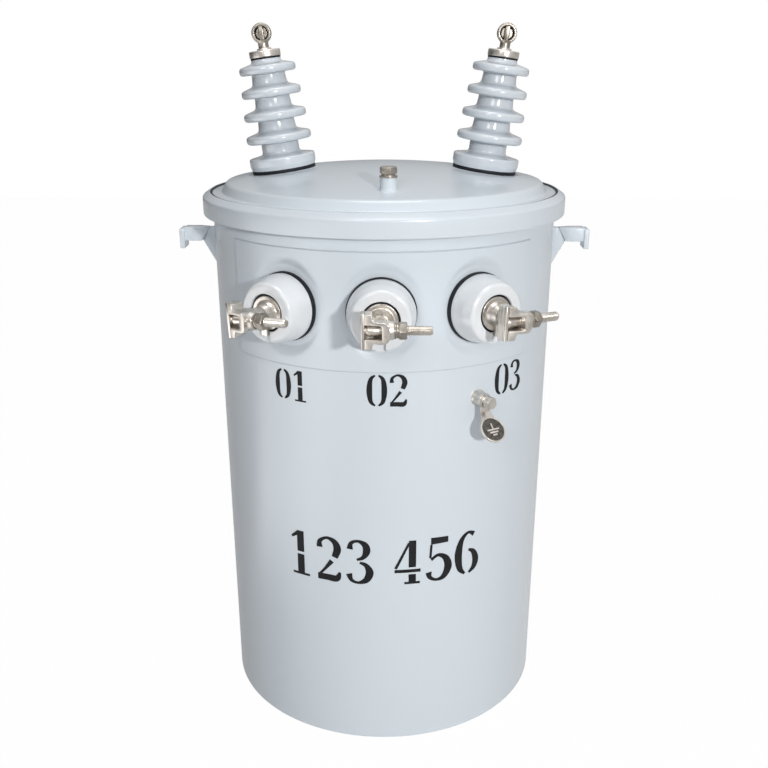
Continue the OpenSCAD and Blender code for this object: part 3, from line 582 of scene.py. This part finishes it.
clamp = {"axis": 97.0, "low": 85.0, "depth": 24.0, "mouth": 22.5, "slope": 0.248}
clampAxis = shifted(0, 0, clamp["axis"])
alongRod = clampAxis @ turnX
mouth = -clamp["mouth"]
clampBody = platePiece("clampBody", [
    (mouth, -25.5, 2), (-12, -25.5, 4), (-10, -15.5, 4), (13.8, -15.5, 10.5), (13.8, 15.5, 10.5), (-10, 16, 4),
    (-12, 26, 4), (mouth, 26, 2), (mouth, 10.3, 1.5), (2.8, 10.3, 4), (2.8, -10.3, 4), (mouth, -10.3, 1.5)],
    clamp["depth"], clamp["low"])
for point in clampBody.data.vertices:
    if point.co.z > clamp["axis"] * mm:
        point.co.z += (point.co.x + clamp["mouth"] * mm) * clamp["slope"]
bevelled(clampBody, 2.2, 4)
clampBoss = spinPiece("clampBoss", [
    (0, 9), (13, 9), (14.6, 13.4, 1), (12.6, 20.5, 1.2), (0, 20.5)], 64, closed=False)
clampCast = joined("lvClamp_left", clampBody, moved(clampBoss, alongRod))

tee = {"near": -22.6, "far": -27.5, "groove": -26.2, "half": 10, "tall": 53, "rod": 7, "threadLow": 20,
       "threadHigh": 74.5, "end": 76}
teePlate = platePiece("teePlate", [
    (tee["near"], -tee["half"], 1.2), (tee["near"], tee["half"], 1.2), (tee["far"], tee["half"], 1.6),
    (tee["far"], 4.8, 0.5), (tee["groove"], 4.0, 0.3), (tee["groove"], 2.6, 0.3), (tee["far"], 1.8, 0.5),
    (tee["far"], -2.6, 0.5), (tee["groove"], -3.4, 0.3), (tee["groove"], -4.8, 0.3), (tee["far"], -5.6, 0.5),
    (tee["far"], -tee["half"], 1.6)], tee["tall"], -tee["tall"] / 2)
bevelled(moved(teePlate, clampAxis @ turned(90, "X")), 0.9, 2, 50)
rodOutline = [(0, -23), (6.6, -23), (8.5, -17, 6), (8.3, -8, 6), (6.8, 0.5, 3), (6.8, tee["threadLow"])]
rodOutline += threadOutline(tee["rod"], tee["threadLow"], tee["threadHigh"], 2.0, 0.8)
rod = spinPiece("rod", rodOutline + [(5.4, tee["end"], 0.8), (0, tee["end"])], 48, closed=False)
teeBolt = joined("lvBolt_left", teePlate, moved(rod, alongRod))

nutForm = {"flats": 23, "height": 12.2, "low": 26.5, "turn": 30}
flatWasher = ringPiece("flatWasher", 7, 12.2, 20.6, 22.8, (0.4, 0.6))
lockWasher = ringPiece("lockWasher", 7, 11.2, 23.0, nutForm["low"], (0.5, 0.8), turn=352, start=40)
nut = hexPiece("nut", nutForm["flats"], nutForm["height"])
moved(nut, shifted(0, 0, nutForm["low"]) @ turned(nutForm["turn"], "Z"))
nutSet = moved(joined("lvNut_left", nut, flatWasher, lockWasher), alongRod)

for part, slotName, node, finish in (
        (drum, "lv_glaze", "lv_bushing", None),
        (stud, "tin_plate", "lv_stud", None),
        (clampCast, "tin_plate", "lv_clamp", None),
        (teeBolt, "tin_plate", "lv_bolt", None),
        (nutSet, "tin_plate", "lv_nut", "boltSteel"),
        (lvSeal, "gasket_rubber", "lv_gasket", None),
        (studSeal, "gasket_rubber", None, None)):
    for angle, turn, name in reversed(list(zip(lvAngles, lv["turns"], names))):
        place = onTank(angle, lv["rho"], lv["height"])
        if part in (clampCast, teeBolt, nutSet):
            place = place @ turned(turn, "Z")
        twin = moved(part, place) if name == "left" else copied(part, part.name.replace("left", name), place)
        dressed(twin, slotName, *([node + "_" + name] if node else []), finish=finish)
print("low voltage bushings done")

# lifting lugs
lug = {"root": 298.5, "elbow": 312, "fold": 326, "end": 357, "out": 366, "foot": 816, "armLow": 858, "top": 882,
       "thick": 10, "half": 14, "weldAt": 300.5, "weldOff": 5.5, "weldBead": 2.4}
gusset = platePiece("gusset", [
    (lug["root"], lug["top"]), (lug["elbow"], lug["top"], 1), (lug["fold"], lug["armLow"], 1.5),
    (303, lug["foot"], 2), (lug["root"], lug["foot"])], lug["thick"], -lug["thick"] / 2)
moved(bevelled(gusset, 1.0, 2), turned(90, "X"))
arm = platePiece("arm", [
    (311, -5), (331, -lug["half"]), (358, -lug["half"]), (358, lug["half"]), (331, lug["half"]), (311, 5)],
    lug["top"] - lug["armLow"], lug["armLow"])
armTrim = platePiece("armTrim", [
    (300, 850), (300, lug["top"]), (lug["elbow"], lug["top"]), (lug["fold"], lug["armLow"]), (lug["fold"], 850)],
    60, -30)
cutBy(arm, moved(armTrim, turned(90, "X")))
bevelled(arm, 1.5, 3)
endPlate = bevelled(blockPiece("endPlate", (lug["end"], -18, 845), (lug["out"], 18, 880)), 2.0, 3)
welds = []
for y in (lug["weldOff"], -lug["weldOff"]):
    weldPath = [(lug["weldAt"], y, z) for z in range(lug["foot"], lug["top"], 3)]
    welds.append(weldBead("lugBead", weldPath, lug["weldBead"]))
lugRight = joined("liftingLug_right", gusset, arm, endPlate, *welds)
lugLeft = copied(lugRight, "liftingLug_left", turned(180, "Z"))
dressed(lugRight, "tank_paint", "lifting_lug_right")
dressed(lugLeft, "tank_paint", "lifting_lug_left")

# ground terminal with its tag
ground = {"angle": 31.5, "height": 647.4, "hole": 8, "seat": 20, "flats": 18.5, "head": 13, "headAt": 25.5,
          "headTurn": 18}
bossPlace = onTank(ground["angle"], tankR, ground["height"])
boss = spinPiece("groundBoss", [
    (ground["hole"], -5), (13.6, -5), (13.6, 1.5, 1.2), (12, 4, 1.5), (12, ground["seat"], 1.2),
    (ground["hole"], ground["seat"])], 72)
dressed(moved(boss, bossPlace), "bolt_steel", "ground_boss", finish="tinPlate")
groundShaft = rodPiece("groundShaft", ground["hole"], -4, 28, 56)
groundWasher = ringPiece("groundWasher", ground["hole"], 10.8, 22.1, 25, (0.4, 0.6))
groundHead = hexPiece("groundHead", ground["flats"], ground["head"], False)
moved(groundHead, shifted(0, 0, ground["headAt"]) @ turned(ground["headTurn"], "Z"))
groundBolt = joined("groundBolt", groundShaft, groundWasher, groundHead)
dressed(moved(groundBolt, bossPlace), "bolt_steel", "ground_bolt", finish="tinPlate")

tag = {"sheet": 2, "lean": 44.0, "fold": 19.5, "strap": 9.5, "disc": 33.1, "radius": 22.5, "field": 19.6,
       "signLow": 2.1, "signHigh": 2.8, "stroke": 1.4}
tagRing = ringPiece("tagRing", ground["hole"], 11.5, ground["seat"], ground["seat"] + tag["sheet"], (0.4, 0.5))
tagStrap = platePiece("tagStrap", [
    (-tag["strap"], -20), (tag["strap"], -20), (tag["strap"], -8.2), (-tag["strap"], -8.2)],
    tag["sheet"], ground["seat"])
bevelled(tagStrap, 0.4, 2)
tagNeck = platePiece("tagNeck", [
    (-14, -16), (14, -16), (tag["strap"], -5, 8), (9.2, 0.8), (-9.2, 0.8), (-tag["strap"], -5, 8)], tag["sheet"])
bevelled(tagNeck, 0.4, 2)
tagDisc = spinPiece("tagDisc", [
    (0, 0), (tag["radius"], 0, 0.7), (tag["radius"], 3.0, 0.9), (20.0, 3.0, 0.5), (tag["field"], 2.0, 0.3), (0, 2.0)],
    96, closed=False)
neckPlace = bossPlace @ shifted(0, -tag["fold"], ground["seat"]) @ turned(-tag["lean"], "X")
discPlace = neckPlace @ shifted(0, -tag["disc"], 0)
for part, place in ((tagRing, bossPlace), (tagStrap, bossPlace), (tagNeck, neckPlace), (tagDisc, discPlace)):
    moved(part, place)
dressed(joined("groundTag", tagRing, tagStrap, tagNeck, tagDisc), "tin_plate", "ground_tag")
tagBack = spinPiece("tagBack", [
    (0, 1.7), (tag["field"], 1.7, 0.2), (tag["field"], 2.25, 0.2), (0, 2.25)], 72, closed=False)
dressed(moved(tagBack, discPlace), "bolt_steel", finish="tagFace")
signBars = [blockPiece("signStem", (-tag["stroke"], 0, tag["signLow"]), (tag["stroke"], 11, tag["signHigh"]))]
for half, up in ((11.5, 0.0), (7.9, -4.6), (4.2, -9.2)):
    signBars.append(blockPiece("signBar", (-half, up - tag["stroke"], tag["signLow"]),
                               (half, up + tag["stroke"], tag["signHigh"])))
earthSign = bevelled(joined("earthSign", *signBars), 0.25, 2)
dressed(moved(earthSign, discPlace), "tin_plate")
print("lugs and ground terminal done")

# pole hangers on the back
hanger = {"heights": (172.725, 763.275), "face": 360.0, "half": 48.0, "plate": 8.0, "tall": 110.0, "hole": 11.0,
          "weldOff": 1.2, "weldAt": 296.6, "weldBead": 3.0}
half = hanger["half"]
within = half - hanger["plate"]
plateIn = hanger["face"] - hanger["plate"]
for height, name in zip(hanger["heights"], ("lower", "upper")):
    channel = platePiece("hanger_" + name, [
        (-half, 295.6), (-half, hanger["face"], 9), (half, hanger["face"], 9), (half, 295.6), (within, 296.8),
        (within, plateIn, 3), (-within, plateIn, 3), (-within, 296.8)],
        hanger["tall"], height - hanger["tall"] / 2)
    drill = rodPiece("drill", hanger["hole"], -30, 30)
    cutBy(channel, moved(drill, shifted(0, hanger["face"] - hanger["plate"] / 2, height) @ turned(90, "X")))
    bevelled(channel, 1.0, 2)
    welds = []
    for x in (-half - hanger["weldOff"], half + hanger["weldOff"]):
        weldPath = [(x, hanger["weldAt"], height + z) for z in range(-54, 55, 3)]
        welds.append(weldBead("hangerBead", weldPath, hanger["weldBead"]))
    dressed(joined("hanger_" + name, channel, *welds), "tank_paint", "hanger_" + name)

seam = {"angle": 25, "x": -301.0, "y": 299.4, "bead": 1.8, "heights": range(4, 912, 4)}
seamX = seam["x"] * math.sin(math.radians(seam["angle"]))
seamY = seam["y"] * math.cos(math.radians(seam["angle"]))
backSeam = weldBead("backSeam", [(seamX, seamY, z) for z in seam["heights"]], seam["bead"])
dressed(backSeam, "tank_paint")
print("back done")

# plain stencilled numbers, each stroke a list of x, y and width
strokes = {
    "0": [[(.25, .97, .05), (.12, .84, .12), (.08, .50, .17), (.12, .16, .12), (.25, .03, .05)],
          [(.35, .97, .05), (.48, .84, .12), (.52, .50, .17), (.48, .16, .12), (.35, .03, .05)]],
    "1": [[(.30, 1.0, .16), (.30, .53, .16)], [(.30, .47, .16), (.30, 0.0, .16)],
          [(.10, .025, .05), (.50, .025, .05)], [(.09, .84, .05), (.24, .95, .09)]],
    "2": [[(.10, .74, .13), (.11, .88, .09), (.26, .97, .06), (.42, .90, .12), (.48, .74, .16), (.42, .55, .13)],
          [(.36, .46, .10), (.20, .25, .06), (.07, .10, .05)],
          [(.05, .075, .14), (.25, .075, .14), (.46, .075, .14), (.53, .22, .05)]],
    "3": [[(.10, .78, .13), (.13, .92, .08), (.27, .97, .06), (.41, .89, .13), (.44, .75, .15), (.37, .61, .09),
           (.24, .55, .05)],
          [(.30, .49, .05), (.43, .43, .10), (.50, .27, .16), (.43, .10, .13), (.27, .03, .06), (.13, .08, .08),
           (.08, .22, .13)]],
    "4": [[(.38, .98, .15), (.38, .38, .15)], [(.38, .22, .15), (.38, 0.0, .15)], [(.31, .93, .05), (.04, .36, .06)],
          [(.02, .30, .07), (.55, .30, .07)], [(.22, .025, .05), (.54, .025, .05)]],
    "5": [[(.12, .92, .15), (.49, .92, .13)], [(.13, .84, .05), (.11, .54, .05)],
          [(.13, .50, .06), (.28, .59, .07), (.44, .50, .13), (.50, .30, .17), (.41, .09, .12), (.25, .03, .06),
           (.11, .10, .09), (.08, .22, .13)]],
    "6": [[(.45, .90, .11), (.31, .96, .06), (.16, .82, .11), (.09, .50, .17), (.13, .18, .13), (.25, .03, .05)],
          [(.35, .03, .05), (.47, .14, .12), (.51, .31, .15), (.45, .49, .11), (.33, .57, .05)]],
}
stencil = {"digit": 0.64, "space": 0.34, "indent": 0.02, "proud": 0.25, "ink": 0.4}


def strokeBand(points):
    line = []
    for i in range(len(points) - 1):
        around = [points[max(0, i - 1)], points[i], points[i + 1], points[min(len(points) - 1, i + 2)]]
        for k in range(8):
            t = k / 8
            line.append([0.5 * (2 * b + (c - a) * t + (2 * a - 5 * b + 4 * c - d) * t * t
                                + (3 * b - a - 3 * c + d) * t ** 3) for a, b, c, d in zip(*around)])
    line.append(list(points[-1]))
    pairs = []
    for i, (x, y, wide) in enumerate(line):
        back, ahead = line[max(0, i - 1)], line[min(len(line) - 1, i + 1)]
        run = Vector((ahead[0] - back[0], ahead[1] - back[1])).normalized()
        pairs.append(((x - run.y * wide / 2, y + run.x * wide / 2), (x + run.y * wide / 2, y - run.x * wide / 2)))
    return pairs


def stencilNumber(name, words, middle, low, tall):
    steps = [stencil["space" if c == " " else "digit"] for c in words]
    pen = -sum(steps) / 2
    rho = tankR + stencil["proud"]
    points, faces = [], []
    for c, step in zip(words, steps):
        for stroke in strokes.get(c, []):
            first = len(points)
            for x, y in (corner for pair in strokeBand(stroke) for corner in pair):
                phi = math.radians(middle) + (pen + x + stencil["indent"]) * tall / tankR
                points.append((rho * math.sin(phi), -rho * math.cos(phi), low + y * tall))
            for a in range(first, len(points) - 2, 2):
                faces.append((a, a + 1, a + 3, a + 2))
        pen += step
    sheet = faceOut(rawPiece(name, points, [], faces))
    withModifier(sheet, "SOLIDIFY", thickness=stencil["ink"] * mm, offset=0)
    return dressed(sheet, "gasket_rubber", finish="stencilInk", angle=30)


stencilNumber("number_left", "01", -29.3, 643, 52)
stencilNumber("number_middle", "02", 1.9, 646, 54)
stencilNumber("number_right", "03", 44.6, 642, 54)
stencilNumber("number_large", "123 456", 0.8, 321, 85)
print("numbers done")

# floor, light and camera
studio = {"floor": 0.80, "seen": 0.985, "mirror": 0.60, "mirrorSide": 0.12, "card": 1.8,
          "key": 69.0, "fill": 18.0, "top": 25.0}
bpy.ops.object.select_all(action="DESELECT")
bpy.ops.mesh.primitive_plane_add(size=14, location=(0, 0, 0))
floor = bpy.context.object
floor.name = "studioFloor"
paper = bpy.data.materials.new("studioPaper")
paper.use_nodes = True
tree = paper.node_tree
paperShade = tree.nodes["Principled BSDF"]
paperShade.inputs["Base Color"].default_value = (studio["floor"], studio["floor"], studio["floor"], 1)
paperShade.inputs["Roughness"].default_value = 0.9
glow = addNode(tree, "ShaderNodeEmission", {}, {"Color": (1, 1, 1, 1), "Strength": 1.0})
spot = addNode(tree, "ShaderNodeTexCoord", output="Object")
heading = addNode(tree, "ShaderNodeVectorMath", {"operation": "NORMALIZE"}, [spot])
distance = addNode(tree, "ShaderNodeVectorMath", {"operation": "LENGTH"}, [spot], output="Value")
toSide, toBack = (addNode(tree, "ShaderNodeSeparateXYZ", {}, [heading], output=axis) for axis in "XY")
card = 1.0  # a pale patch to the left and in front, in reflections only
for value, low, high in ((toSide, -0.8, -0.3), (toBack, -0.2, 0.15), (distance * -1.0, -1.2, -0.5)):
    card = card * smoothStep(tree, value, low, high, 1.0, 0.0)
sheen = card * studio["card"] + toSide * studio["mirrorSide"] + studio["mirror"]
mirrorGlow = addNode(tree, "ShaderNodeEmission", {}, {"Color": sheen, "Strength": 1.0})
seen, reflected = (addNode(tree, "ShaderNodeLightPath", output=kind) for kind in ("Is Camera Ray", "Is Glossy Ray"))
unseen = addNode(tree, "ShaderNodeMixShader", {}, [reflected, Wire(tree, paperShade.outputs[0]), mirrorGlow])
blend = addNode(tree, "ShaderNodeMixShader", {}, [seen * studio["seen"], unseen, glow])
tree.links.new(blend.socket, tree.nodes["Material Output"].inputs["Surface"])
floor.data.materials.append(paper)

world = bpy.data.worlds.new("studioWorld")
bpy.context.scene.world = world
world.use_nodes = True
tree = world.node_tree
tree.nodes.remove(tree.nodes["Background"])
toward = addNode(tree, "ShaderNodeTexCoord", output="Generated")
across, behind, above = (addNode(tree, "ShaderNodeSeparateXYZ", {}, [toward], output=axis) for axis in "XYZ")
overhead = addNode(tree, "ShaderNodeMath", {"operation": "MAXIMUM"}, [above, 0.0])
room = across * 0.11 + behind * -0.08 + 0.235  # the left and the back are dimmer
soft = addNode(tree, "ShaderNodeBackground", {}, {"Color": (0.97, 0.985, 1.0, 1), "Strength": room})
bright = addNode(tree, "ShaderNodeBackground", {}, {"Color": (1, 1, 1, 1), "Strength": 1.0})
paleness = across * 0.25 + overhead * 0.80 + 0.30
mirrored = addNode(tree, "ShaderNodeBackground", {}, {"Color": (1, 1, 1, 1), "Strength": paleness})
seen, glossy, through = (addNode(tree, "ShaderNodeLightPath", output=kind)
                         for kind in ("Is Camera Ray", "Is Glossy Ray", "Is Transmission Ray"))
reflected = addNode(tree, "ShaderNodeMixShader", {}, [glossy + through, soft, mirrored])
backdrop = addNode(tree, "ShaderNodeMixShader", {}, [seen, reflected, bright])
tree.links.new(backdrop.socket, tree.nodes["World Output"].inputs["Surface"])


def areaLamp(name, place, aim, size, power, tint=(1, 1, 1)):
    lamp = bpy.data.lights.new(name, "AREA")
    lamp.size = size
    lamp.energy = power
    lamp.color = tint
    holder = bpy.data.objects.new(name, lamp)
    bpy.context.collection.objects.link(holder)
    holder.location = place
    holder.rotation_euler = (Vector(aim) - Vector(place)).to_track_quat("-Z", "Y").to_euler()


areaLamp("keyLamp", (1.33, -3.49, 1.66), (0, 0, 0.7), 0.22, studio["key"], (1.0, 0.99, 0.975))
areaLamp("fillLamp", (-0.9, -3.0, 2.2), (0, 0, 0.6), 1.0, studio["fill"], (0.98, 0.99, 1.0))
areaLamp("topLamp", (0.1, -0.5, 3.4), (0, 0, 0.9), 1.4, studio["top"])

shot = {"place": (0.0232, -1.7258, 1.1616), "pitch": 68.723, "turn": 0.77, "lens": 44.6, "shift": 0.0599}
camera = bpy.data.cameras.new("photoCamera")
camera.sensor_width = 36.0
camera.lens = shot["lens"]
camera.shift_y = shot["shift"]
camera.clip_end = 50
photoCamera = bpy.data.objects.new("photoCamera", camera)
bpy.context.collection.objects.link(photoCamera)
photoCamera.location = shot["place"]
photoCamera.rotation_euler = (math.radians(shot["pitch"]), 0, math.radians(shot["turn"]))
bpy.context.scene.camera = photoCamera
bpy.context.scene.view_settings.view_transform = "Standard"
print("studio ready")
